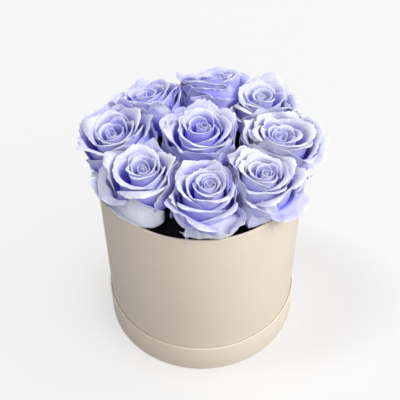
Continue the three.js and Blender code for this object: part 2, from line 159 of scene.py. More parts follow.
def finish_piece(piece, name, material, slot, *nodes):
    """Names a piece, gives it its material and lets it ride in the place of its solid nodes."""
    piece.name = name
    piece.data.name = name
    piece.data.materials.clear()
    piece.data.materials.append(material)
    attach(piece, BODY)
    if nodes:
        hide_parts(*nodes)
    print(name, len(piece.data.polygons), "faces")


print("helpers for pieces ready")

# %% Helpers for materials
def feed(tree, node, inputs):
    """Sets each of these inputs to its value, or links it to the socket that feeds it."""
    for name, value in inputs.items():
        if isinstance(value, bpy.types.NodeSocket):
            tree.links.new(value, node.inputs[name])
        else:
            node.inputs[name].default_value = value


def add_node(tree, kind, inputs=None, **settings):
    """Adds a shader node with these inputs and settings."""
    made = tree.nodes.new("ShaderNode" + kind)
    for name, value in settings.items():
        setattr(made, name, value)
    feed(tree, made, inputs or {})
    return made


def add_ramp(tree, factor, stops):
    """A colour ramp through pairs of place and colour."""
    made = add_node(tree, "ValToRGB", {"Fac": factor})
    ramp = made.color_ramp
    while len(ramp.elements) < len(stops):
        ramp.elements.new(0.5)
    for element, (place, colour) in zip(ramp.elements, stops):
        element.position = place
        element.color = (*colour, 1)
    return made.outputs["Color"]


def new_material(name):
    """A material, its nodes and its shader."""
    material = bpy.data.materials.new(name)
    material.use_nodes = True
    return material, material.node_tree, material.node_tree.nodes["Principled BSDF"]


print("helpers for materials ready")

# %% Helpers for node groups
def new_group(name, inputs, outputs):
    """A shader node group with named inputs and outputs."""
    group = bpy.data.node_groups.new(name, "ShaderNodeTree")
    for label, kind, value in inputs:
        socket = group.interface.new_socket(name=label, in_out="INPUT", socket_type=kind)
        if value is not None:
            socket.default_value = value
    for label, kind in outputs:
        group.interface.new_socket(name=label, in_out="OUTPUT", socket_type=kind)
    return group, group.nodes.new("NodeGroupInput").outputs, group.nodes.new("NodeGroupOutput").inputs


def use_group(tree, group, inputs):
    """Places a node group among a material's nodes, and returns its outputs."""
    made = tree.nodes.new("ShaderNodeGroup")
    made.node_tree = group
    feed(tree, made, inputs)
    return made.outputs


print("helpers for node groups ready")

# %% [markdown]
# ## Paper
# The box is grey board wrapped in smooth cream paper, and lined with black paper. A flat colour would
# do from far off, but paper is short fibres that lie every way, which leave the surface a touch
# uneven and the colour a touch cloudy. One node group holds that for both papers, and each one says
# how much of it shows.

# %% Paper fibres as a node group
fibre_group, fibre_in, fibre_out = new_group(
    "paper_fibres",
    [("Place", "NodeSocketVector", None), ("Fineness", "NodeSocketFloat", 1800.0)],
    [("Cloud", "NodeSocketFloat"), ("Height", "NodeSocketFloat")],
)
fibres = add_node(
    fibre_group,
    "TexNoise",
    {"Vector": fibre_in["Place"], "Scale": fibre_in["Fineness"], "Detail": 3.0, "Distortion": 1.2},
)
clouds = add_node(fibre_group, "TexNoise", {"Vector": fibre_in["Place"], "Scale": 28.0, "Detail": 4.0})
fibre_group.links.new(fibres.outputs["Fac"], fibre_out["Height"])
fibre_group.links.new(clouds.outputs["Fac"], fibre_out["Cloud"])
print("paper fibres:", len(fibre_group.nodes), "nodes")

# %% Paper materials
FIBRE_RELIEF = 0.05 * MM


def paper_material(name, light, dark, roughness, relief, sheen):
    """A paper whose colour drifts between two near tones."""
    material, tree, shader = new_material(name)
    place = add_node(tree, "TexCoord").outputs["Object"]
    paper = use_group(tree, fibre_group, {"Place": place})
    bump = add_node(tree, "Bump", {"Height": paper["Height"], "Strength": relief, "Distance": FIBRE_RELIEF})
    feed(tree, shader, {
        "Base Color": add_ramp(tree, paper["Cloud"], [(0.35, dark), (0.65, light)]),
        "Normal": bump.outputs["Normal"],
        "Roughness": roughness,
        "Specular IOR Level": 0.35,
        "Sheen Weight": sheen,
        "Sheen Roughness": 0.4,
    })
    return material


CREAM = paper_material(
    "cream_paper",
    light=(0.73, 0.635, 0.51),
    dark=(0.715, 0.62, 0.495),
    roughness=0.45,
    relief=0.35,
    sheen=0.15,
)
BLACK = paper_material(
    "black_paper",
    light=(0.016, 0.015, 0.02),
    dark=(0.011, 0.010, 0.014),
    roughness=0.75,
    relief=0.5,
    sheen=0,
)
print("papers:", CREAM.name, BLACK.name)

# %% [markdown]
# ## The box's wall
# The wall is a strip of board rolled into a tube, and its paper laps over itself at the back and
# turns in over the rim. It could be turned as a profile, but rolling a thin tube and giving it the
# board's thickness with Solidify is nearer to how the box is made. A bevel eases the edges, as the
# wrapped paper does.

# %% Helpers for round pieces
EDGE_ROUND = 0.4 * MM
SHARP_EDGE = math.radians(50)


def pick_faces(piece, test):
    """Selects the faces whose centre and normal pass a test, ready for edit mode."""
    choose(piece)
    bpy.ops.object.mode_set(mode="EDIT")
    bpy.ops.mesh.select_mode(type="FACE")
    bpy.ops.mesh.select_all(action="DESELECT")
    bpy.ops.object.mode_set(mode="OBJECT")
    for face in piece.data.polygons:
        face.select = test(face.center, face.normal)
    bpy.ops.object.mode_set(mode="EDIT")


def settle(piece):
    """Leaves edit mode and puts the object at the origin, with its place in its mesh."""
    choose(piece)
    bpy.ops.object.transform_apply(location=True, rotation=True, scale=True)
    return piece


def ease_edges(piece, width):
    """Rounds the sharp edges and shades the rest smooth."""
    apply_modifier(piece, "BEVEL", width=width, segments=3, limit_method="ANGLE", angle_limit=SHARP_EDGE)
    shade_smooth(piece, below=35)


def disc(radius, foot, top, steps=ROUND_STEPS):
    """A round block with this radius, between two levels."""
    deselect()
    middle = (0, 0, (foot + top) / 2)
    bpy.ops.mesh.primitive_cylinder_add(vertices=steps, radius=radius, depth=top - foot, location=middle)
    return settle(bpy.context.object)


def tube(radius, board, foot, top, edge):
    """A rolled tube of board whose outside has this radius."""
    deselect()
    middle = (0, 0, (foot + top) / 2)
    bpy.ops.mesh.primitive_cylinder_add(
        vertices=ROUND_STEPS, radius=radius, depth=top - foot, location=middle, end_fill_type="NOTHING"
    )
    piece = settle(bpy.context.object)
    apply_modifier(piece, "SOLIDIFY", thickness=board, offset=-1)
    ease_edges(piece, edge)
    return piece


print("helpers for round pieces ready")

# %% The wall
LAP_SIDE = (math.radians(84), math.radians(91))
LAP_PAPER = 0.12 * MM

wall = tube(BOX_RADIUS, WALL_BOARD, wall_low.z, wall_high.z, EDGE_ROUND)
for vertex in wall.data.vertices:
    side = math.atan2(vertex.co.y, vertex.co.x)
    across = math.hypot(vertex.co.x, vertex.co.y)
    if LAP_SIDE[0] < side < LAP_SIDE[1] and across > BOX_RADIUS - EDGE_ROUND / 4:
        vertex.co.x *= 1 + LAP_PAPER / across
        vertex.co.y *= 1 + LAP_PAPER / across
finish_piece(wall, "cream_wall", CREAM, "cream_board", "box_wall")

# %% [markdown]
# ## The lid under the box
# The box stands in its own lid. The lid is a shallow cup: a disc of board with a low side, and a
# hair's breadth wider than the box, so that a dark line shows where the two part. It is pushed out of
# one cylinder: the top is inset by the board's thickness and sunk.

# %% The lid
lid = disc(LID_RADIUS, 0, LID_DEPTH)
pick_faces(lid, lambda centre, normal: normal.z > 0.9)
bpy.ops.mesh.inset(thickness=LID_BOARD)
bpy.ops.mesh.extrude_region_move(TRANSFORM_OT_translate={"value": (0, 0, LID_TOP_BOARD - LID_DEPTH)})
bpy.ops.object.mode_set(mode="OBJECT")
ease_edges(lid, EDGE_ROUND)
finish_piece(lid, "cream_lid", CREAM, "cream_board", "lid")

# %% [markdown]
# ## Inside the box
# A disc closes the tube's foot, black paper lines it, and a block of black floral foam carries the
# stems. The foam is cut to size with a knife, so its edge is crisp, but its top is crumbly: rings are
# inset into the top, and each of their corners is lowered at random by less than a millimetre. A
# displace modifier would roughen the sides too.

# %% The base and the lining
base = disc(base_high.x, base_low.z, base_high.z)
ease_edges(base, EDGE_ROUND / 2)
finish_piece(base, "base_board", CREAM, "cream_board", "box_base")

lining = tube(liner_high.x, LINER_PAPER, liner_low.z, liner_high.z, LINER_PAPER / 4)
finish_piece(lining, "black_lining", BLACK, "black_paper", "liner")

# %% Foam material
FOAM_CELL_RELIEF = 0.3 * MM


def foam_material():
    """Black foam with fine open cells and a little paler dust."""
    material, tree, shader = new_material("black_foam")
    place = add_node(tree, "TexCoord").outputs["Object"]
    cells = add_node(tree, "TexVoronoi", {"Vector": place, "Scale": 1500.0}).outputs["Distance"]
    dust = add_node(tree, "TexNoise", {"Vector": place, "Scale": 300.0, "Detail": 5.0}).outputs["Fac"]
    bump = add_node(tree, "Bump", {"Height": cells, "Strength": 0.8, "Distance": FOAM_CELL_RELIEF})
    feed(tree, shader, {
        "Base Color": add_ramp(tree, dust, [(0.4, (0.008, 0.008, 0.010)), (0.7, (0.022, 0.021, 0.026))]),
        "Normal": bump.outputs["Normal"],
        "Roughness": 0.95,
        "Specular IOR Level": 0.2,
    })
    return material


FOAM = foam_material()
print("foam material:", FOAM.name)

# %% The foam block
FOAM_STEPS = 96
FOAM_RINGS = 18
FOAM_EDGE = 1.7 * MM
CRUMB = 0.8 * MM
FOAM_SEED = 5

foam = disc(foam_high.x, foam_low.z, foam_high.z, FOAM_STEPS)
pick_faces(foam, lambda centre, normal: normal.z > 0.9)
bpy.ops.mesh.inset(thickness=FOAM_EDGE)
for _ in range(FOAM_RINGS):
    bpy.ops.mesh.inset(thickness=(foam_high.x - 2 * FOAM_EDGE) / (FOAM_RINGS + 1))
bpy.ops.object.mode_set(mode="OBJECT")
draw = np.random.default_rng(FOAM_SEED)
for vertex in foam.data.vertices:
    across = math.hypot(vertex.co.x, vertex.co.y)
    if vertex.co.z > foam_high.z - MM and across < foam_high.x - FOAM_EDGE / 2:
        vertex.co.z -= draw.uniform(0, CRUMB)
    elif vertex.co.z > foam_high.z - MM:
        vertex.co.z -= FOAM_EDGE
shade_smooth(foam, below=40)
finish_piece(foam, "foam_block", FOAM, "black_foam", "foam")

# %% [markdown]
# ## Where each rose stands
# Nine roses fill the box, one in the middle and eight round it, and no two stand alike. A random
# scatter would fill a box as well, but not look like this one, so each rose's heart, lean and size
# were read from the photograph. The solid blooms were set out with the same values.

# %% Where each rose stands
# Heart in millimetres, lean and its side in degrees, size beside a full rose, turn about the stem in
# degrees, and a seed. Gap is the side on which the bud leaves a deep fold, open makes the bud wider,
# and the dye and shade value makes a rose deeper or paler, in its dye and the painted shade alike.
ROSES = {
    "centre": dict(
        heart=(-1, -1, 203), lean=5, towards=270, size=0.92,
        turn=20, seed=11, gap=195, open=1.05, dye_and_shade=1.15,
    ),
    "front": dict(
        heart=(4, -56, 196), lean=4, towards=270, size=0.9,
        turn=75, seed=23, gap=210, open=1.05, dye_and_shade=0.9,
    ),
    "front_right": dict(
        heart=(44, -43, 195), lean=6, towards=330, size=0.95,
        turn=140, seed=37, gap=200, open=0.95, dye_and_shade=0.7,
    ),
    "right": dict(
        heart=(62, -1, 194), lean=10, towards=20, size=1.02,
        turn=200, seed=41, gap=30, open=1.0, dye_and_shade=0.7,
    ),
    "back_right": dict(
        heart=(50, 41, 194), lean=6, towards=30, size=0.87,
        turn=265, seed=59, gap=320, open=0.85, dye_and_shade=0.8,
    ),
    "back": dict(
        heart=(12, 64, 195), lean=26, towards=94, size=0.98,
        turn=200, seed=71, gap=270, open=0.95, dye_and_shade=1.5,
    ),
    "back_left": dict(
        heart=(-41, 46, 194), lean=22, towards=125, size=0.89,
        turn=5, seed=73, gap=0, open=1.0, dye_and_shade=1.4,
    ),
    "left": dict(
        heart=(-64, 5, 195), lean=12, towards=190, size=0.98,
        turn=50, seed=83, gap=60, open=1.05, dye_and_shade=1.0,
    ),
    "front_left": dict(
        heart=(-43, -39, 196), lean=5, towards=200, size=0.94,
        turn=110, seed=97, gap=225, open=1.0, dye_and_shade=0.8,
    ),
}
HEART_HEIGHT = 34
print(len(ROSES), "roses")

# %% A rose's own frame
def rose_axis(rose):
    """The direction of a rose's stem."""
    tilt, side = math.radians(rose["lean"]), math.radians(rose["towards"])
    return Vector((math.sin(tilt) * math.cos(side), math.sin(tilt) * math.sin(side), math.cos(tilt)))


def rose_foot(rose):
    """The place below its heart where a rose's petals grow from, in millimetres."""
    return Vector(rose["heart"]) - rose_axis(rose) * HEART_HEIGHT * rose["size"]


def rose_matrix(rose):
    """The rose's own frame in the box, in millimetres: its stem's direction, and its origin at its foot."""
    axis = rose_axis(rose)
    leaning = Vector((0, 0, 1)).rotation_difference(axis).to_matrix().to_4x4()
    spin = Matrix.Rotation(math.radians(rose["turn"]), 4, "Z")
    return Matrix.Translation(rose_foot(rose)) @ leaning @ spin @ Matrix.Scale(rose["size"], 4)


print("the first rose stands on", [round(part, 1) for part in rose_foot(ROSES["centre"])])

# %% [markdown]
# ## The form of a rose
# Each rose here is twenty-six petals set on a spiral, each a golden angle further round than the
# last, and a few more that hang or lie loose. A petal's middle line climbs out of the stem like a
# bowl's side and then rolls outwards in a lip. Near the heart the petals wrap tightly and stand
# closed. Further out they are wider, lower and rolled further back.
#
# Each petal starts as the same flat blank, a grid, and a formula bends it. That is the one shape here
# that can't be pushed about by hand with operators: all these layers have to nest without a tangle.

# %% Values of a petal from the heart (0) to the outermost
# Lengths are in millimetres on a full rose, and angles in degrees, at the petals with these numbers.
# Belly and mouth are the bowl's radius lower down and at its top, height is its level there, and root
# the level that it grows from. Lip is the length that rolls outwards, and roll how far it turns over.
# Half is the petal's half width round the stem, drop how far its corners stay below its middle and
# point how suddenly, tip how much its middle comes to a point, and flat how far it leaves the round.
# Ruffle and kink bend its rim, and stray sets it off at random. The dye and shade value is how deep its
# colour is, the dye and the painted shade at its foot together, and fade how much of it is lost
# towards the edge.
PETALS = 26
GOLDEN_ANGLE = math.pi * (3 - math.sqrt(5))
BUD_PETALS = 10
NUMBERS = (0, 4, 5, 9, 10, 15, 16, 21, 22, 25)
PETAL_VALUES = {
    "belly": (2.6, 5.6, 7.6, 10.6, 13.2, 18.0, 20.0, 24.0, 25.4, 28.5),
    "mouth": (0.8, 4.8, 7.2, 10.8, 13.6, 19.6, 21.8, 27.0, 28.6, 34.0),
    "height": (35, 35, 35.2, 35.6, 35.8, 35.0, 34.0, 29.5, 27.0, 19.0),
    "lip": (0.5, 0.8, 1.1, 1.8, 2.3, 3.4, 4.0, 5.2, 5.5, 6.0),
    "roll": (10, 60, 85, 100, 105, 108, 108, 100, 96, 92),
    "half": (120, 108, 100, 90, 84, 74, 70, 62, 60, 56),
    "drop": (0.05, 0.06, 0.08, 0.10, 0.12, 0.15, 0.18, 0.20, 0.24, 0.28),
    "point": (2.2, 2.2, 2.2, 2.2, 2.2, 2.0, 1.8, 1.5, 1.5, 1.5),
    "tip": (0.0, 0.1, 0.15, 0.25, 0.4, 0.8, 0.9, 1.0, 1.0, 1.0),
    "ruffle": (0.1, 0.2, 0.3, 0.4, 0.5, 1.0, 1.2, 1.7, 1.9, 2.4),
    "kink": (0.08, 0.12, 0.18, 0.28, 0.36, 0.6, 0.7, 0.9, 1.0, 1.1),
    "root": (1.5, 1.2, 1.0, 0.6, 0.4, 0, -0.2, -0.6, -0.8, -1),
    "flat": (0, 0, -0.02, -0.02, -0.01, 0.02, 0.05, 0.12, 0.14, 0.18),
    "stray": (0.3, 0.5, 0.9, 1.0, 1.0, 1.0, 1.0, 1.2, 1.4, 1.6),
    "dye_and_shade": (0.5, 0.55, 0.75, 0.9, 0.95, 0.9, 0.8, 0.7, 0.6, 0.45),
    "fade": (0.5, 0.6, 0.75, 0.8, 0.84, 0.84, 0.8, 0.7, 0.65, 0.6),
}


def petal_value(name, number):
    """A value of the petal with this number."""
    return float(np.interp(number, NUMBERS, PETAL_VALUES[name]))


def eased(low, high, value):
    """0 below low, 1 above high, and smooth between them."""
    part = np.clip((value - low) / (high - low), 0, 1)
    return part * part * (3 - 2 * part)


print(PETALS, "petals on a spiral")

# %% [markdown]
# ## Petals out of the spiral
# Preserved roses are opened by hand, so some petals hang or lie loose, and a rose may open to one
# side. A hanging petal is one more of the outermost row with a few values changed. Where a rose
# opens, the spiral's outer petals make way or fall out, and loose petals are laid there. Those could
# be pulled into place in sculpt mode, but as a smooth sheet through a few stated places they stay
# easy to move.

# %% Petals that hang to one side
# The rose, the side in degrees, and where the petal differs from one of the outermost row.
HANGING = [
    ("left", 222, dict(belly=25, mouth=30, height=15, lip=5, roll=60, half=42, kink=1.7, dye_and_shade=0.4)),
    ("front_right", 20, dict(belly=26, mouth=31, height=27, lip=3, roll=60, half=40, kink=0.6, dye_and_shade=0.12)),
    ("centre", 180, dict(belly=29, mouth=38, height=24, lip=4, roll=60, half=50, dye_and_shade=0.8)),
    ("centre", 5, dict(belly=29, mouth=38, height=25, lip=4, roll=60, half=50, dye_and_shade=0.8)),
    ("back_left", 284, dict(belly=22, mouth=26, height=30, lip=8, roll=90, half=34, kink=1.8, dye_and_shade=0.03)),
    ("centre", 62, dict(belly=29, mouth=39, height=22, lip=4, roll=60, half=46, dye_and_shade=0.9)),
    ("centre", 122, dict(belly=29, mouth=39, height=22, lip=4, roll=60, half=46, dye_and_shade=0.9)),
]
print(len(HANGING), "petals hang")

# %% Roses that open to one side
# The side that a rose opens to, how far to either side, and the first petal of the spiral that makes
# way there.
OPENINGS = {
    "front_left": (250, 60, 18),
    "front": (272, 46, 23),
    "front_right": (296, 52, 19),
    "right": (2, 38, 20),
    "left": (222, 36, 22),
    "back": (0, 35, 15),
}
MAKE_WAY = math.radians(20)
MOST_WAY = math.radians(25)
# How far the petals outside the bud are set off to one side, in millimetres.
RING_SHIFT = {"centre": (2.5, -4)}


def make_way(name, number, side, half):
    """Where a petal of the spiral goes when its rose has an opening, or None if it falls out."""
    if name not in OPENINGS or number < OPENINGS[name][2]:
        return side
    middle, width = (math.radians(value) for value in OPENINGS[name][:2])
    off = math.remainder(side - middle, 2 * math.pi)
    if abs(off) < width:
        return None
    moved = min(max(abs(off), width + half - MAKE_WAY), abs(off) + MOST_WAY)
    return middle + math.copysign(moved, off)


print(len(OPENINGS), "roses open to one side")

# %% Loose petals in the openings
# Four sides, and at each how far out and how high the petal is at its belly, its shoulder and its
# edge, in millimetres about the foot of the rose. Kink and ruffle bend the petal, curl turns its edge
# outwards, and reach lets it come further from the box's middle than others.
LOOSE = [
    dict(
        rose="front_left", sides=(196, 235, 272, 308),
        belly=((24, 1.5), (23.5, 2), (29, 1.5), (23, 2)),
        shoulder=((25, 4), (24.5, 11), (27, 11), (27, 6)),
        edge=((25.5, 6), (20.5, 22), (23.5, 22), (29, 12)),
        kink=0.5, ruffle=0.2, curl=1.4, dye_and_shade=0.12,
    ),
    dict(
        rose="front_left", sides=(186, 212, 240, 274),
        belly=((22, 1), (22, 1), (22, 1), (24, 1)),
        shoulder=((28, 4), (28, 4), (27, 3), (29, 2.5)),
        edge=((31, 5), (31.5, 4), (30, 3), (31.5, 2)),
        kink=1.0, ruffle=0.4, curl=0, dye_and_shade=0.02,
    ),
    dict(
        rose="front_left", sides=(160, 186, 212, 240),
        belly=((22, 8), (23, 8), (22, 8), (21, 8)),
        shoulder=((26, 20), (26.5, 19), (25.5, 18), (23.5, 19)),
        edge=((31, 24), (33.5, 19), (31.5, 17), (27, 21)),
        kink=1.4, ruffle=0.6, curl=1.5, dye_and_shade=0.2,
    ),
    dict(
        rose="front", sides=(192, 210, 230, 252),
        belly=((20, 9), (20, 9), (20, 8), (18, 6)),
        shoulder=((23, 17), (24, 15), (24.5, 12), (24, 12)),
        edge=((24.5, 25), (26, 20), (28, 14), (27, 16)),
        kink=0.5, ruffle=0.3, curl=1.6, dye_and_shade=0.25,
    ),
    dict(
        rose="front", sides=(236, 250, 264, 280),
        belly=((19, 9), (19, 9), (18, 9), (18, 10)),
        shoulder=((25, 11), (25, 12), (24, 12), (25, 13)),
        edge=((28, 2.5), (27, 2), (26, 2), (26, 3)),
        kink=2.0, ruffle=0.3, curl=0, dye_and_shade=0.15,
    ),
    dict(
        rose="front", sides=(262, 282, 302, 322),
        belly=((18, 12), (18, 13), (18, 14), (18, 14)),
        shoulder=((25, 15), (25, 16), (26, 17), (27, 16)),
        edge=((27, 4), (27, 2.5), (28, 3), (30, 6)),
        kink=1.6, ruffle=0.3, curl=0, dye_and_shade=0.15,
    ),
    dict(
        rose="front_right", sides=(240, 262, 284, 306),
        belly=((29, 3), (27, 2.5), (23, 3), (20.5, 4)),
        shoulder=((29, 13), (27, 13), (25, 13), (24, 13)),
        edge=((28, 22), (24, 25), (23.5, 26), (25, 22)),
        kink=2.2, ruffle=0.3, curl=1, dye_and_shade=0.15,
    ),
    dict(
        rose="front_right", sides=(288, 308, 328, 346),
        belly=((18, 8), (20, 9), (22, 10), (24, 12)),
        shoulder=((23, 14), (26, 14), (29, 16), (32, 19)),
        edge=((25, 11), (31, 5.5), (36, 6.5), (41, 12)),
        kink=0.5, ruffle=0.3, curl=0, dye_and_shade=0.5, fade=0.25, reach=108,
    ),
    dict(
        rose="right", sides=(-32, -10, 10, 40),
        belly=((22, 8), (25, 9), (27, 10), (26, 14)),
        shoulder=((26, 16), (30, 21), (32, 26), (29, 32)),
        edge=((31, 14), (37.5, 19), (39.5, 26), (36, 34)),
        kink=0.6, ruffle=0.4, curl=0, dye_and_shade=0.5, fade=0.1, reach=106,
    ),
]
LOOSE_FADE = 0.6
print(len(LOOSE), "petals lie loose")

# %% [markdown]
# ## One petal
# The lower part of a petal's middle line is a curve with four handles, like one of Blender's own
# Bezier curves, and the upper part is an arc that rolls outwards. Then the rim is ruffled, kinked in
# straight pieces and torn a little, because a preserved petal is dry and creases sharply. Noise could
# crumple it too, but noise doesn't know where the rim is. The numbers in the formula were set against
# the photograph.

# %% The bowl of a petal
BLANK_ACROSS = 32
BLANK_ALONG = 22
LIP_START = 0.62


def bowl_line(belly, mouth, height, root, s, end):
    """Radius and level along a bowl's side, and the way outwards and upwards at its end."""
    shaft = [(1.2, root), (belly * 1.25 + 1.5, root + 0.5), (belly * 1.02, height * 0.62), (mouth, height)]
    weights = [(1 - s) ** 3, 3 * (1 - s) ** 2 * s, 3 * (1 - s) * s**2, s**3]
    radius = sum(w * p[0] for w, p in zip(weights, shaft))
    level = sum(w * p[1] for w, p in zip(weights, shaft))
    slopes = [3 * (1 - end) ** 2, 6 * (1 - end) * end, 3 * end**2]
    way_out = sum(w * (shaft[i + 1][0] - shaft[i][0]) for i, w in enumerate(slopes))
    way_up = sum(w * (shaft[i + 1][1] - shaft[i][1]) for i, w in enumerate(slopes))
    length = np.hypot(way_out, way_up)
    return radius, level, way_out / length, way_up / length


print(BLANK_ACROSS, "by", BLANK_ALONG, "faces in a petal")

# %% The rim of a petal
BEND_PIECES = 9


def kinks(draw, across, count):
    """A line of straight pieces with random corners, about 1 high."""
    return np.interp(across, np.linspace(-1, 1, count), draw.uniform(-1, 1, count))


def rim_moves(kink, ruffle, waves, phase, crease, draw, across, along):
    """How far ruffles, kinks and tears move each point outwards and upwards."""
    rim = eased(0.45, 1, along) ** 1.5
    wave = ruffle * np.sin(waves * math.pi * across + phase) * rim
    fold = 0.9 * ruffle * (0.6 - np.abs(np.sin(1.7 * waves * across + crease))) * rim
    bent = kink * kinks(draw, across, BEND_PIECES) * eased(0.55, 0.9, along)
    torn = kink * kinks(draw, across, BLANK_ACROSS + 1) * eased(0.88, 1, along)
    return (
        0.8 * wave + 0.5 * fold + 1.15 * bent + 1.3 * torn,
        0.5 * wave + 0.7 * fold + 1.4 * bent + 1.0 * torn,
    )


print("the rim bends in", BEND_PIECES - 1, "pieces")

# %% A petal of the spiral
OUTER_BELLY = 26


def petal_points(values, side, draw, across, along):
    """The petal's points in millimetres about the stem, from -1 to 1 across and 0 to 1 along."""
    belly, mouth = values["belly"], values["mouth"] + draw.uniform(-0.4, 0.4)
    lip = values["lip"] * draw.uniform(0.8, 1.25)
    height = values["height"] + draw.uniform(-1.6, 1)
    roll = math.radians(values["roll"]) * draw.uniform(0.8, 1.15)
    half = math.radians(values["half"]) * draw.uniform(0.9, 1.08)
    ruffle = values["ruffle"] * draw.uniform(0.6, 1.3)
    phase, turn, crease = draw.uniform(0, 2 * math.pi, 3)
    waves = draw.uniform(1.2, 2.6)
    skew = draw.uniform(-0.15, 0.15)
    outer = min(1, belly / OUTER_BELLY)
    sides = np.abs(across - skew * (1 - across**2))

    end = 1 - values["drop"] * draw.uniform(0.8, 1.3) * sides ** values["point"]
    body = np.clip(along / LIP_START, 0, 1)
    s = body * end
    radius, level, way_out, way_up = bowl_line(belly, mouth, height, values["root"], s, end)

    lip_share = np.clip((along - LIP_START) / (1 - LIP_START), 0, 1)
    tip = values["tip"] * draw.uniform(0.2, 1) * np.exp(-((sides / 0.2) ** 2))
    lip_here = lip * (1 - 0.6 * sides**3 + 0.7 * tip) * (1 + 0.2 * np.sin(4.3 * across + turn))
    angle = roll * (1 - 0.45 * sides**4 - 0.4 * tip + 0.18 * np.sin(3.1 * across + phase)) * lip_share
    radius = radius + lip_here * (way_out * np.sin(angle) + way_up * (1 - np.cos(angle)))
    level = level + lip_here * (way_up * np.sin(angle) - way_out * (1 - np.cos(angle)))

    out, up = rim_moves(values["kink"], ruffle, waves, phase, crease, draw, across, along)
    radius, level = radius + out, level + up
    spread = half * (across + skew * (1 - across**2)) * (0.62 + 0.38 * eased(0, 0.55, s))
    radius = radius * (1 + values["flat"] * spread**2)
    radius = radius - 0.8 * sides**3 * eased(0.1, 0.6, s) * (1 - outer)
    tilt_along, tilt_aside = draw.uniform(-0.03, 0.06) * (0.4 + outer), draw.uniform(-0.05, 0.05)
    tilt_x = tilt_along * math.cos(side) - tilt_aside * math.sin(side)
    tilt_y = tilt_along * math.sin(side) + tilt_aside * math.cos(side)
    stray_x, stray_y = (way * eased(0, 0.5, s) * values["stray"] for way in draw.uniform(-1, 1, 2))
    x = radius * np.cos(side + spread) + tilt_x * level + stray_x
    y = radius * np.sin(side + spread) + tilt_y * level + stray_y
    return np.stack([x, y, level], axis=-1)


print("the formula of a petal is set up")

# %% A loose petal
LOOSE_COLUMNS = (-1, -1 / 3, 1 / 3, 1)
LOOSE_STATIONS = (0, 0.36, 0.66, 1)
LOOSE_ROOT = (1.5, 0)
LOOSE_BEND_PIECES = 11
CRUMPLE_PIECES = 10
CRUMPLE_SLOPES = (-0.6, 0.5, 1.0, -1.1)


def through(stations, values, at):
    """The smooth curve through a value at each station."""
    total = 0
    for i, (own, value) in enumerate(zip(stations, values)):
        share = 1
        for j, other in enumerate(stations):
            if j != i:
                share = share * (at - other) / (own - other)
        total = total + share * value
    return total


def loose_points(loose, rose, draw, across, along):
    """The petal's points in millimetres in the box, from -1 to 1 across and 0 to 1 along."""
    side = np.radians(through(LOOSE_COLUMNS, loose["sides"], across))
    middle = math.radians(sum(loose["sides"]) / 4)
    side = middle + (side - middle) * (0.5 + 0.5 * eased(0, LOOSE_STATIONS[1], along))
    out, up = [], []
    for belly, shoulder, edge in zip(loose["belly"], loose["shoulder"], loose["edge"]):
        places = [LOOSE_ROOT, belly, shoulder, edge]
        out.append(through(LOOSE_STATIONS, [place[0] for place in places], along))
        up.append(through(LOOSE_STATIONS, [place[1] for place in places], along))
    radius, level = through(LOOSE_COLUMNS, out, across), through(LOOSE_COLUMNS, up, across)
    rim = eased(0.4, 1, along)
    phase = draw.uniform(0, 2 * math.pi)
    wave = loose["ruffle"] * np.sin(3.2 * math.pi * across + phase + 2 * along) * rim
    bent = loose["kink"] * kinks(draw, across, LOOSE_BEND_PIECES) * eased(0.45, 0.9, along)
    slanted = [0.7 * across + slope * (along - 0.5) for slope in CRUMPLE_SLOPES]
    crumple = sum(kinks(draw, line, CRUMPLE_PIECES) for line in slanted)
    crumple = 0.5 * loose["kink"] * crumple * eased(0.2, 0.6, along)
    torn = 0.7 * loose["kink"] * kinks(draw, across, BLANK_ACROSS + 1) * eased(0.88, 1, along)
    radius = radius + wave + 0.5 * bent + crumple + 0.5 * torn + loose["curl"] * eased(0.86, 1, along)
    level = level + 0.5 * wave + 0.6 * bent - 0.3 * crumple + torn
    foot = rose_foot(rose)
    x, y = foot.x + radius * np.cos(side), foot.y + radius * np.sin(side)
    return np.stack([x, y, foot.z + level], axis=-1)


print("the formula of a loose petal is set up")

# %% [markdown]
# ## Room for each rose
# The roses stand closer together than they are wide, so their outer petals press on each other. A
# cloth simulation could press them, but it is slow and comes out a little different each time. Here
# the plane midway between two roses parts them: the nearer a petal comes to it, the harder it is
# pushed back, and it never gets through. A petal that reaches the wall of the box lies over the rim
# in the same way.

# %% The planes between the roses
MID_HEIGHT = 20


def cell_planes(rose):
    """Points and normals of the planes midway to each neighbour, facing the rose."""
    own = rose_matrix(rose)
    planes = []
    order = list(ROSES.values())
    for other in order:
        if other is rose:
            continue
        sense = 1 if order.index(rose) < order.index(other) else -1
        there = rose_matrix(other)
        middle, far = (m @ Vector((0, 0, MID_HEIGHT)) for m in (own, there))
        lean = (own.col[2].to_3d().normalized() + there.col[2].to_3d().normalized()).normalized()
        away = middle - far
        normal = (away - away.dot(lean) * lean).normalized()
        share = rose["size"] / (rose["size"] + other["size"])
        planes.append((np.array(middle.lerp(far, share)), np.array(normal), sense))
    return planes


print(len(cell_planes(ROSES["centre"])), "planes round each rose")

# %% Press petals back from the neighbours
PETAL_THICKNESS = 0.35
CELL_GAP = 0.4
PRESS_DEPTH = 4.5
PRESS_ROUNDS = 3
# The planes sway a little, so that no cut looks straight.
SWAY = 1.1
SWAY_A = np.array((0.21, 0.17, 0.33))
SWAY_B = np.array((-0.26, 0.31, 0.12))
SWAY_PHASE = 1.3


def pressed(distance, least, depth):
    """Eases a distance so that it never falls below its least value."""
    squeezed = least + (depth - least) * np.exp((np.minimum(distance, depth) - depth) / (depth - least))
    return np.where(distance >= depth, distance, squeezed)


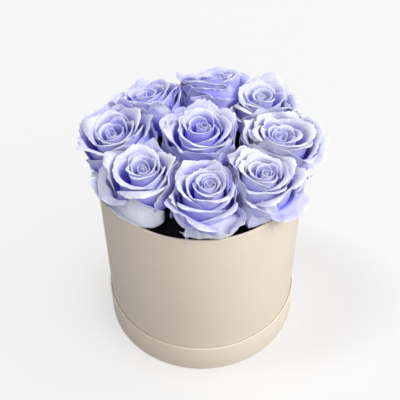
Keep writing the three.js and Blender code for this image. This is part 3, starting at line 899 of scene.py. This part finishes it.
def clear_of_neighbours(points, planes):
    """Pushes points back from the planes between the roses."""
    least = CELL_GAP + PETAL_THICKNESS / 2
    for _ in range(PRESS_ROUNDS):
        for place, normal, sense in planes:
            distance = (points - place) @ normal
            along_plane = points - place - distance[..., None] * normal
            sway = np.sin(along_plane @ SWAY_A) + np.sin(along_plane @ SWAY_B + SWAY_PHASE)
            distance = distance - sense * SWAY * sway
            points = points + (pressed(distance, least, PRESS_DEPTH) - distance)[..., None] * normal
    return points


print("petals keep", 2 * CELL_GAP, "mm between roses")

# %% Lay petals over the rim
PETAL_REACH = 84
RIM_CLEAR = 1.2
RIM_SLOPE = 0.7
INSIDE_SLOPE = 3
REACH_SLOPE = 0.5
REACH_EASE = 7
REACH_LIFT = 0.4


def clear_of_rim(points, reach):
    """Holds points within their reach, and above the rim where they come to the wall."""
    across = np.hypot(points[..., 0], points[..., 1])
    reach = reach + REACH_SLOPE * np.maximum(0, points[..., 2] - RIM_HEIGHT / MM)
    held = reach - pressed(reach - across, 0, REACH_EASE)
    points[..., :2] *= (held / across)[..., None]
    points[..., 2] += REACH_LIFT * (across - held)
    outer = BOX_RADIUS / MM
    inside = outer - WALL_BOARD / MM - RIM_CLEAR
    rest = RIM_HEIGHT / MM + RIM_CLEAR + PETAL_THICKNESS / 2
    below = np.where(
        held < inside,
        (inside - held) * INSIDE_SLOPE,
        np.maximum(0, held - outer - RIM_CLEAR) * RIM_SLOPE,
    )
    points[..., 2] = rest - below + pressed(points[..., 2] - rest + below, 0, PRESS_DEPTH / 2)
    return points


print("petals keep", RIM_CLEAR, "mm off the rim")

# %% [markdown]
# ## Petal colour
# Preserved petals are dyed: the dye is deepest where the petal is thick, at its foot, and thins out
# to a pale edge. Towards the foot the colour is deepened further as painted shade, the shade deep
# inside the rose. Each petal could be painted by hand, but there are over two hundred. The depth of
# the dye and the painted shade is therefore kept at each point of a petal as an attribute, and the UV
# map, which follows the petal's length, carries faint veins that fan out along it. A slow noise makes
# no two patches alike.

# %% Veins as a node group
vein_group, vein_in, vein_out = new_group(
    "petal_veins",
    [("Along", "NodeSocketVector", None), ("Count", "NodeSocketFloat", 26.0)],
    [("Mask", "NodeSocketFloat"), ("Height", "NodeSocketFloat")],
)
split = add_node(vein_group, "SeparateXYZ", {"Vector": vein_in["Along"]}).outputs
fan = add_node(vein_group, "Math", {0: split["X"], 1: vein_in["Count"]}, operation="MULTIPLY").outputs[0]
slow = add_node(vein_group, "Math", {0: split["Y"], 1: 1.6}, operation="MULTIPLY").outputs[0]
stretched = add_node(vein_group, "CombineXYZ", {"X": fan, "Y": slow}).outputs[0]
streak_noise = {"Vector": stretched, "Scale": 1.0, "Detail": 3.0, "Distortion": 0.7}
streaks = add_node(vein_group, "TexNoise", streak_noise).outputs["Fac"]
vein_group.links.new(streaks, vein_out["Height"])
faint = add_node(vein_group, "MapRange", {"Value": streaks, "From Min": 0.35, "From Max": 0.65})
vein_group.links.new(faint.outputs["Result"], vein_out["Mask"])
print("veins:", len(vein_group.nodes), "nodes")

# %% Petal material
# Colours from pale to deep. The deep end is the dye at the petals' feet together with painted shade deep in
# the rose.
DYE_AND_SHADE_STOPS = [
    (0.0, (0.73, 0.745, 0.87)),
    (0.12, (0.63, 0.64, 0.89)),
    (0.35, (0.45, 0.445, 0.97)),
    (0.65, (0.28, 0.265, 1.0)),
    (1.0, (0.14, 0.11, 1.0)),
]
PATCH_SHIFT = 0.09
VEIN_SHIFT = 0.035
CREASE_RELIEF = 0.6 * MM


def petal_dye_and_shade(tree, place, veins):
    """The petal's colour: its dye and the painted shade at its foot, a little more or less from patch to
    patch and along its veins.
    """
    dye_and_shade = add_node(tree, "Attribute", attribute_name="dye_and_shade").outputs["Fac"]
    patch = add_node(tree, "TexNoise", {"Vector": place, "Scale": 90.0, "Detail": 3.0}).outputs["Fac"]
    patch_range = {"From Min": 0.3, "From Max": 0.7, "To Min": -PATCH_SHIFT, "To Max": PATCH_SHIFT}
    shift = add_node(tree, "MapRange", {"Value": patch} | patch_range).outputs["Result"]
    line = add_node(tree, "MapRange", {"Value": veins["Mask"], "To Min": VEIN_SHIFT, "To Max": -VEIN_SHIFT})
    depth = add_node(tree, "Math", {0: dye_and_shade, 1: shift}, operation="ADD").outputs[0]
    depth = add_node(tree, "Math", {0: depth, 1: line.outputs["Result"]}, operation="ADD").outputs[0]
    return add_ramp(tree, depth, DYE_AND_SHADE_STOPS)


def petal_material():
    """A soft dyed petal with painted shade towards its foot, fine veins and creases, which lets a little
    light through.
    """
    material, tree, shader = new_material("preserved_petal")
    petal_uv = add_node(tree, "UVMap", uv_map="petal").outputs["UV"]
    place = add_node(tree, "TexCoord").outputs["Object"]
    veins = use_group(tree, vein_group, {"Along": petal_uv})
    fine = add_node(tree, "TexNoise", {"Vector": place, "Scale": 1400.0, "Detail": 2.0}).outputs["Fac"]
    rough = add_node(tree, "MapRange", {"Value": fine, "To Min": 0.5, "To Max": 0.68}).outputs["Result"]
    crease_noise = {"Vector": place, "Scale": 320.0, "Detail": 2.0, "Distortion": 1.5}
    creases = add_node(tree, "TexNoise", crease_noise).outputs["Fac"]
    skin = add_node(tree, "Math", {0: veins["Height"], 1: creases}, operation="ADD").outputs[0]
    skin = add_node(tree, "Math", {0: fine, 1: 0.3, 2: skin}, operation="MULTIPLY_ADD").outputs[0]
    bump = add_node(tree, "Bump", {"Height": skin, "Strength": 0.6, "Distance": CREASE_RELIEF})
    feed(tree, shader, {
        "Base Color": petal_dye_and_shade(tree, place, veins),
        "Normal": bump.outputs["Normal"],
        "Roughness": rough,
        "Subsurface Weight": 0.45,
        "Subsurface Radius": (1.0, 1.0, 1.0),
        "Subsurface Scale": 1.5 * MM,
        "Sheen Weight": 0.05,
        "Sheen Roughness": 0.5,
        "Specular IOR Level": 0.2,
    })
    return material


PETAL = petal_material()
print("petal material:", len(PETAL.node_tree.nodes), "nodes")

# %% [markdown]
# ## The nine roses
# The blank is modelled once, as a grid. Every petal is a copy of it with its own mesh, bent by the
# formula, and a rose is its petals joined, given the thickness of a petal with Solidify, and shaded
# smooth. A bloom could be modelled once and turned eight times, but the eye finds such copies at
# once.

# %% The petal blank
deselect()
bpy.ops.mesh.primitive_grid_add(x_subdivisions=BLANK_ACROSS, y_subdivisions=BLANK_ALONG, size=2)
blank = bpy.context.object
blank.name = "petal_blank"
blank.data.uv_layers[0].name = "petal"
flat = np.array([vertex.co for vertex in blank.data.vertices])
BLANK_U, BLANK_V = flat[:, 0], (flat[:, 1] + 1) / 2
print("blank of", len(blank.data.polygons), "faces")

# %% A petal cut from the blank
# Painted shade: how much deeper the colour gets towards a petal's foot, deep inside the rose.
FOOT_SHADE = 0.6
RIM_PALE = 0.9


def set_dye_and_shade(piece, dye_and_shade):
    """Keeps the depth of the dye and the painted shade at each point, for the petal material to read."""
    piece.data.attributes.new("dye_and_shade", "FLOAT", "POINT").data.foreach_set("value", dye_and_shade)


def model_petal(points, values, rose, draw):
    """A copy of the blank with these points, and its dye and painted shade from point to point."""
    petal = blank.copy()
    petal.data = blank.data.copy()
    petal.data.vertices.foreach_set("co", (points * MM).ravel())
    # Painted shade, deepest at the petal's foot and gone a little past halfway up.
    painted_foot_shade = FOOT_SHADE * (1 - eased(0.1, 0.55, BLANK_V))
    dye_and_shade = values["dye_and_shade"] * rose["dye_and_shade"] * (1 + painted_foot_shade - values["fade"] * eased(0.25, 0.72, BLANK_V))
    dye_and_shade = (dye_and_shade + draw.uniform(-0.06, 0.06)) * (1 - RIM_PALE * eased(0.92, 0.99, BLANK_V))
    set_dye_and_shade(petal, dye_and_shade)
    bpy.context.scene.collection.objects.link(petal)
    return petal


print("petals are cut from", blank.name)

# %% The petals of a rose
BUD_SHIFT = 1.9


def spiral_petals(name, rose, draw):
    """Points and values of the petals on a rose's spiral, in the rose's own frame."""
    turn = math.radians(rose["turn"])
    away = math.radians(rose["gap"] + 180) - turn
    bud_shift = BUD_SHIFT * np.array((math.cos(away), math.sin(away), 0))
    over, back = RING_SHIFT.get(name, (0, 0))
    ring_shift = np.array(Matrix.Rotation(-turn, 3, "Z") @ Vector((over, back, 0)))
    petals = []
    for number in range(PETALS):
        values = {kind: petal_value(kind, number) for kind in PETAL_VALUES}
        shift = ring_shift
        if number < BUD_PETALS:
            values["belly"] *= rose["open"]
            values["mouth"] *= rose["open"]
            shift = bud_shift * (2 if number < BUD_PETALS / 2 else 1)
        side = number * GOLDEN_ANGLE + draw.uniform(-0.15, 0.15)
        side = make_way(name, number, side + turn, math.radians(values["half"]))
        if side is not None:
            petals.append((petal_points(values, side - turn, draw, BLANK_U, BLANK_V) + shift, values))
    return petals


def hanging_petals(name, rose, draw):
    """Points and values of the petals that hang, in the rose's own frame."""
    turn = math.radians(rose["turn"])
    petals = []
    for owner, side, changes in HANGING:
        if owner == name:
            values = {kind: petal_value(kind, PETALS - 1) for kind in PETAL_VALUES} | changes
            petals.append((petal_points(values, math.radians(side) - turn, draw, BLANK_U, BLANK_V), values))
    return petals


print("each rose's petals are set out in its own frame")

# %% The nine roses
def model_rose(name, rose):
    """Bends a rose's petals clear of all round it, joins them and gives them their thickness."""
    draw = np.random.default_rng(rose["seed"])
    matrix = np.array(rose_matrix(rose))
    planes = cell_planes(rose)
    sheets = spiral_petals(name, rose, draw) + hanging_petals(name, rose, draw)
    sheets = [(points @ matrix[:3, :3].T + matrix[:3, 3], values) for points, values in sheets]
    for loose in LOOSE:
        if loose["rose"] == name:
            sheets.append((loose_points(loose, rose, draw, BLANK_U, BLANK_V), {"fade": LOOSE_FADE} | loose))
    petals = []
    for points, values in sheets:
        reach = values.get("reach", PETAL_REACH)
        points = clear_of_rim(clear_of_neighbours(points, planes), reach)
        petals.append(model_petal(points, values, rose, draw))
    bloom = join(petals)
    apply_modifier(bloom, "SOLIDIFY", thickness=PETAL_THICKNESS * MM, offset=0)
    shade_smooth(bloom, below=55)
    finish_piece(bloom, f"rose_{name}", PETAL, "petal", f"rose_{name}_bloom")


for name, rose in ROSES.items():
    model_rose(name, rose)
bpy.data.objects.remove(blank)

# %% [markdown]
# ## Torn fibres
# Where a petal has torn at the rim, a few dry fibres hang out of it. Blender's hair could make them,
# but a narrow ribbon along a bent line is a plain mesh, which any program can read. Each is a strip
# cut from a grid, as the petals are, only thinner, with a point at its end.

# %% Where the fibres hang
FIBRES = {
    "front": [
        [(-13, -74, 168.5), (-9.5, -80.5, 168.5), (-10.5, -81.2, 165), (-7.6, -81.6, 158.5)],
        [(-15, -73, 168), (-12, -77, 169.5), (-8, -80, 168.5), (-8.6, -81.5, 165)],
    ],
    "front_right": [
        [(44, -63, 173), (48.5, -64, 168.5), (45, -67.5, 164), (49.6, -66, 155)],
        [(46, -62, 174), (47.6, -65.5, 168.6), (54, -61.8, 164), (51, -65.4, 156)],
        [(52, -57, 178), (50, -61, 174), (48.5, -64, 171), (46, -66, 169)],
    ],
}
FIBRE_WIDTH = 0.6
FIBRE_STEPS = 12
FIBRE_DYE = 0.05
print(sum(len(lines) for lines in FIBRES.values()), "fibres")

# %% Torn fibres at the rim
def model_fibre(line):
    """A ribbon along a curve with four handles, which narrows to its end."""
    deselect()
    bpy.ops.mesh.primitive_grid_add(x_subdivisions=FIBRE_STEPS, y_subdivisions=1, size=2)
    strip = bpy.context.object
    strip.data.uv_layers[0].name = "petal"
    first, second, third, last = (Vector(point) for point in line)
    for vertex in strip.data.vertices:
        s, over = (vertex.co.x + 1) / 2, vertex.co.y
        at = (1 - s) ** 3 * first + 3 * (1 - s) ** 2 * s * second + 3 * (1 - s) * s**2 * third + s**3 * last
        around = Vector((-at.y, at.x, 0)).normalized()
        narrow = FIBRE_WIDTH / 2 * (1 - 0.75 * s) * (1 + 0.3 * math.sin(9 * s))
        vertex.co = (at + around * over * narrow) * MM
    set_dye_and_shade(strip, np.full(len(strip.data.vertices), FIBRE_DYE))
    apply_modifier(strip, "SOLIDIFY", thickness=PETAL_THICKNESS * MM, offset=0)
    return strip


for name, lines in FIBRES.items():
    fibres_here = join([model_fibre(line) for line in lines])
    shade_smooth(fibres_here, below=55)
    finish_piece(fibres_here, f"torn_fibres_{name}", PETAL, "petal")

# %% [markdown]
# ## Stems
# Each bloom sits in a small cup with five pointed sepals, on a short dry stem that is pushed into the
# foam. The shaft is modelled by pushing a ring upwards and widening it, the sepals are cut from a
# grid, and the nine are copies of the one: they are hidden, so their likeness doesn't show.

# %% Stem material
STEM_RELIEF = 0.15 * MM


def stem_material():
    """A dry stem, with a grain drawn out along it."""
    material, tree, shader = new_material("dry_stem")
    place = add_node(tree, "TexCoord").outputs["Object"]
    drawn_out = add_node(tree, "Mapping", {"Vector": place, "Scale": (1, 1, 0.12)}).outputs["Vector"]
    grain = add_node(tree, "TexNoise", {"Vector": drawn_out, "Scale": 900.0, "Detail": 4.0}).outputs["Fac"]
    bump = add_node(tree, "Bump", {"Height": grain, "Strength": 0.5, "Distance": STEM_RELIEF})
    feed(tree, shader, {
        "Base Color": add_ramp(tree, grain, [(0.35, (0.030, 0.042, 0.018)), (0.7, (0.075, 0.085, 0.040))]),
        "Normal": bump.outputs["Normal"],
        "Roughness": 0.8,
    })
    return material


STEM = stem_material()
print("stem material:", STEM.name)

# %% The shaft and its cup
STEM_SIDES = 14
# Radius and level of each ring, in millimetres about the foot of the rose.
STEM_LINE = [
    (2.4, -58), (2.3, -40), (2.2, -22), (2.5, -10), (3.6, -7.6), (4.9, -5.2), (5.0, -3.2), (4.4, -1.9),
]

deselect()
radius, level = STEM_LINE[0]
bpy.ops.mesh.primitive_circle_add(
    vertices=STEM_SIDES, radius=radius * MM, location=(0, 0, level * MM), fill_type="NGON"
)
shaft = settle(bpy.context.object)
bpy.ops.object.mode_set(mode="EDIT")
bpy.ops.mesh.select_all(action="SELECT")
for next_radius, next_level in STEM_LINE[1:]:
    bpy.ops.mesh.extrude_region_move(TRANSFORM_OT_translate={"value": (0, 0, (next_level - level) * MM)})
    grow = next_radius / radius
    bpy.ops.transform.resize(value=(grow, grow, 1))
    radius, level = next_radius, next_level
bpy.ops.mesh.select_all(action="SELECT")
bpy.ops.mesh.normals_make_consistent(inside=False)
bpy.ops.object.mode_set(mode="OBJECT")
print("shaft of", len(shaft.data.polygons), "faces")

# %% The sepals, and the stem that the nine are copied from
SEPALS = 5
SEPAL_ROOT = 3
SEPAL_REACH = 13
SEPAL_HALF = 2.7
SEPAL_LEVEL = -3.6
SEPAL_FALL = 1.2
SEPAL_CUP = 0.5
SEPAL_THICKNESS = 0.5


def model_sepal(turn):
    """A pointed leaf that runs out from the cup to one side."""
    deselect()
    bpy.ops.mesh.primitive_grid_add(x_subdivisions=10, y_subdivisions=4, size=2)
    sepal = bpy.context.object
    for vertex in sepal.data.vertices:
        out = (vertex.co.x + 1) / 2
        half = SEPAL_HALF * (1 - 0.92 * out**2.2)
        reach = SEPAL_ROOT + (SEPAL_REACH - SEPAL_ROOT) * out
        over = half * vertex.co.y
        level = SEPAL_LEVEL - SEPAL_FALL * out**2 + SEPAL_CUP * vertex.co.y**2
        x = reach * math.cos(turn) - over * math.sin(turn)
        y = reach * math.sin(turn) + over * math.cos(turn)
        vertex.co = Vector((x, y, level)) * MM
    apply_modifier(sepal, "SOLIDIFY", thickness=SEPAL_THICKNESS * MM, offset=0)
    return sepal


stem_pattern = join([shaft] + [model_sepal(order / SEPALS * 2 * math.pi) for order in range(SEPALS)])
shade_smooth(stem_pattern, below=45)
print("stem of", len(stem_pattern.data.polygons), "faces")

# %% The nine stems
for name, rose in ROSES.items():
    stem = stem_pattern.copy()
    stem.data = stem_pattern.data.copy()
    bpy.context.scene.collection.objects.link(stem)
    matrix = rose_matrix(rose)
    matrix.translation *= MM
    stem.data.transform(matrix)
    finish_piece(stem, f"stem_{name}", STEM, "stem", f"rose_{name}_stem")
bpy.data.objects.remove(stem_pattern)

# %% [markdown]
# ## The floor
# The photograph is a plain packshot on a white sweep. A curved sweep could be modelled, but from this
# height a flat floor fills the picture. It glows, which keeps it white, and it does so for the camera
# alone, so that it doesn't light the petals from below. Close round the box it glows less: that is
# the box's faint shadow.

# %% The floor
FLOOR_WIDTH = 12
FLOOR_GREY = 0.6
GLOW_BY_BOX = 0.43
GLOW_BEYOND = 0.56
SHADOW_INNER = 0.09
SHADOW_OUTER = 0.17
SHADOW_PLACE = (-0.04, 0, 0)
SHADOW_SQUASH = (1, 1.6, 1)

deselect()
bpy.ops.mesh.primitive_plane_add(size=FLOOR_WIDTH, location=(0, 0, 0))
floor = bpy.context.object
floor.name = "floor"
sweep, sweep_tree, sweep_shader = new_material("white_sweep")
floor_place = add_node(sweep_tree, "TexCoord").outputs["Object"]
about_box = {"Vector": floor_place, "Location": SHADOW_PLACE, "Scale": SHADOW_SQUASH}
about_box = add_node(sweep_tree, "Mapping", about_box).outputs["Vector"]
away = add_node(sweep_tree, "VectorMath", {0: about_box}, operation="LENGTH").outputs["Value"]
glow_range = {
    "Value": away,
    "From Min": SHADOW_INNER,
    "From Max": SHADOW_OUTER,
    "To Min": GLOW_BY_BOX,
    "To Max": GLOW_BEYOND,
}
glow = add_node(sweep_tree, "MapRange", glow_range, interpolation_type="SMOOTHSTEP")
seen = add_node(sweep_tree, "LightPath").outputs["Is Camera Ray"]
glow = add_node(sweep_tree, "Math", {0: glow.outputs["Result"], 1: seen}, operation="MULTIPLY")
feed(sweep_tree, sweep_shader, {
    "Base Color": (FLOOR_GREY, FLOOR_GREY, FLOOR_GREY, 1),
    "Roughness": 0.9,
    "Emission Color": (1, 1, 1, 1),
    "Emission Strength": glow.outputs["Value"],
})
floor.data.materials.append(sweep)
print("floor", FLOOR_WIDTH, "m wide")

# %% [markdown]
# ## Light
# A large soft light stands high on the right, with white all round. The surroundings are therefore a
# colour ramp that is brightest on the right. Area lamps could do the rest, but they fall off with
# distance, so three suns with a wide spread are used: the key, a fill from the front, and a light
# from behind that picks out the rims of the petals. They leave the floor alone, on which they would
# draw too strong a shadow.

# %% The surroundings
BRIGHT_SIDE = (0.95, -0.15, 0.1)
SKY_STOPS = [
    (0.0, (0.18, 0.18, 0.19)),
    (0.5, (0.54, 0.54, 0.55)),
    (0.8, (0.82, 0.82, 0.84)),
    (1.0, (1.2, 1.2, 1.22)),
]

world = bpy.data.worlds.new("studio")
bpy.context.scene.world = world
world.use_nodes = True
sky = world.node_tree
direction = add_node(sky, "TexCoord").outputs["Generated"]
aside = add_node(sky, "VectorMath", {0: direction, 1: BRIGHT_SIDE}, operation="DOT_PRODUCT")
both_ways = {"Value": aside.outputs["Value"], "From Min": -1.0, "From Max": 1.0}
share = add_node(sky, "MapRange", both_ways).outputs["Result"]
feed(sky, sky.nodes["Background"], {"Color": add_ramp(sky, share, SKY_STOPS), "Strength": 1.0})
print("surroundings:", world.name)

# %% The lights
def sun_light(name, energy, spread, towards):
    """A far soft light that leaves the floor alone."""
    data = bpy.data.lights.new(name, "SUN")
    data.energy = energy
    data.angle = math.radians(spread)
    light = bpy.data.objects.new(name, data)
    light.rotation_euler = Vector(towards).to_track_quat("-Z", "Y").to_euler()
    bpy.context.scene.collection.objects.link(light)
    choose(light, floor)
    bpy.ops.object.light_linking_receivers_link(link_state="EXCLUDE")
    return light


key = sun_light("key", 2.0, 30, (-1.2, 0.3, -1.15))
fill = sun_light("fill", 1.0, 40, (0, 0.66, -0.75))
rear = sun_light("rear", 0.9, 40, (0.4, -1, -0.2))
bpy.context.scene.view_settings.view_transform = "Standard"
bpy.context.scene.view_settings.gamma = 1.1
print("lights:", key.name, fill.name, rear.name)
